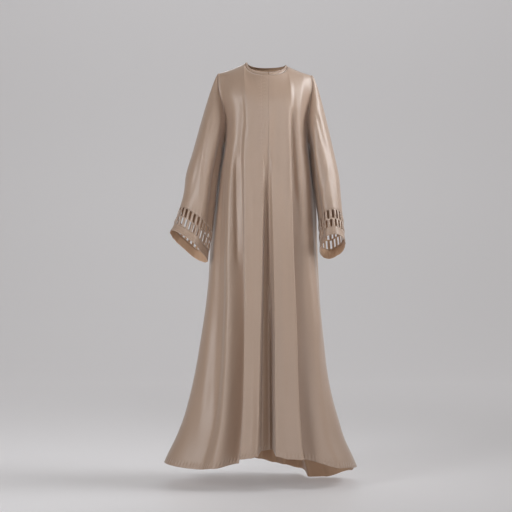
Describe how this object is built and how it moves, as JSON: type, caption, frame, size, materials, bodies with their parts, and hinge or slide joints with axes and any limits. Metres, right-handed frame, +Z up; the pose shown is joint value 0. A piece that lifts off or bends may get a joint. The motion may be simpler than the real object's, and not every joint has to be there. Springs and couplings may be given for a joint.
{
  "type": "abaya cloak",
  "caption": "Long open-front satin abaya with an A-line flare, wide sleeves and rows of cut windows above plain cuffs.",
  "frame": {"origin": "middle of the neck opening, level with the tops of the shoulders, where the wearer holds it up", "axes": "+Z up, front towards -Y, +X towards the wearer's left"},
  "size_m": [0.741, 0.5066, 1.6199],
  "materials": {
    "satin": "champagne satin, soft sheen",
    "strips": "folded strips of the same satin",
    "binding": "bias binding of the same satin, topstitched"
  },
  "bodies": {
    "root": {"front_right": "satin", "front_left": "satin", "back": "satin", "sleeve_right": "satin", "sleeve_left": "satin", "cuff_right": "satin", "cuff_left": "satin", "cutwork_right_front": "strips", "cutwork_right_back": "strips", "cutwork_left_front": "strips", "cutwork_left_back": "strips", "neck_band": "binding"}
  },
  "joints": []
}
